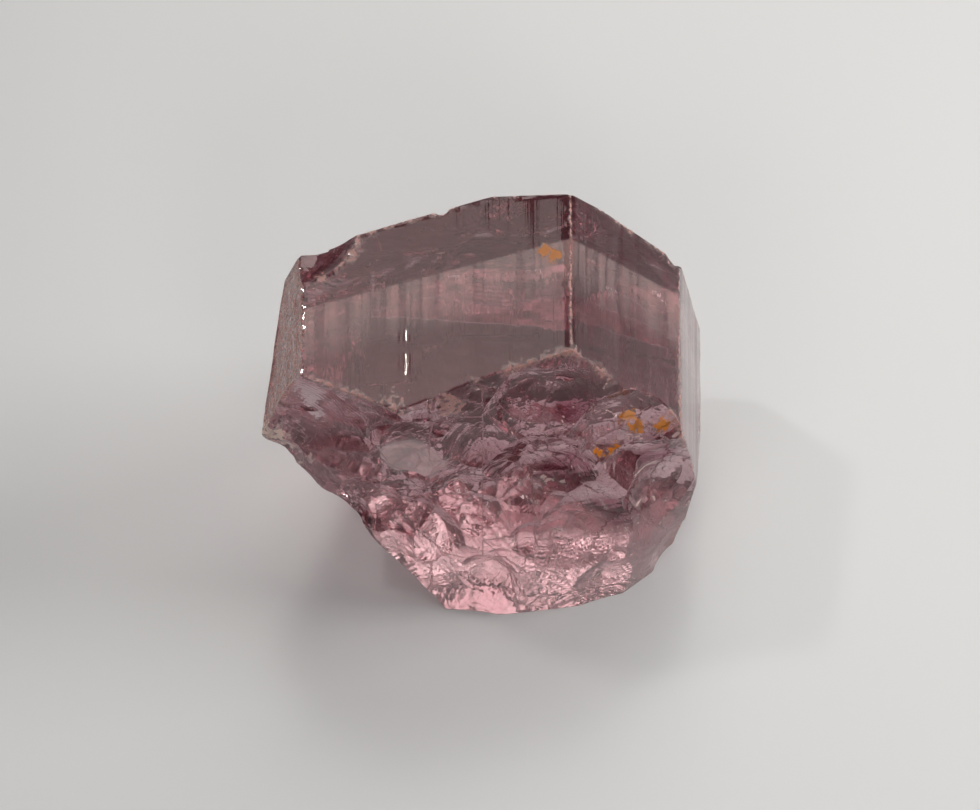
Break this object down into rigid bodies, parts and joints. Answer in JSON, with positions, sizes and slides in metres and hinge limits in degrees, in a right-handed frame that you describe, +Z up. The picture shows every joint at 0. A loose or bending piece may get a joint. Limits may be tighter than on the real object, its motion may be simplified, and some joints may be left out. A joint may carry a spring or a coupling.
{
  "type": "rough pink tourmaline",
  "caption": "Loose piece of a clear pink tourmaline crystal with finely ridged prism faces on top and shell-shaped fractures round the ends and base, for display or as cutting rough",
  "frame": {"origin": "on the surface the stone rests on, under the middle of its bounding box", "axes": "+Z is up, the crystal's long axis runs along +Y and rises 10 degrees towards it, and the broken front faces -Y"},
  "size_m": [0.0124, 0.0084, 0.0117],
  "materials": {
    "tourmaline": "glassy on the shells, satin with fine ridges on the prism faces"
  },
  "bodies": {
    "root": {"tourmaline_crystal": "tourmaline"}
  },
  "joints": []
}
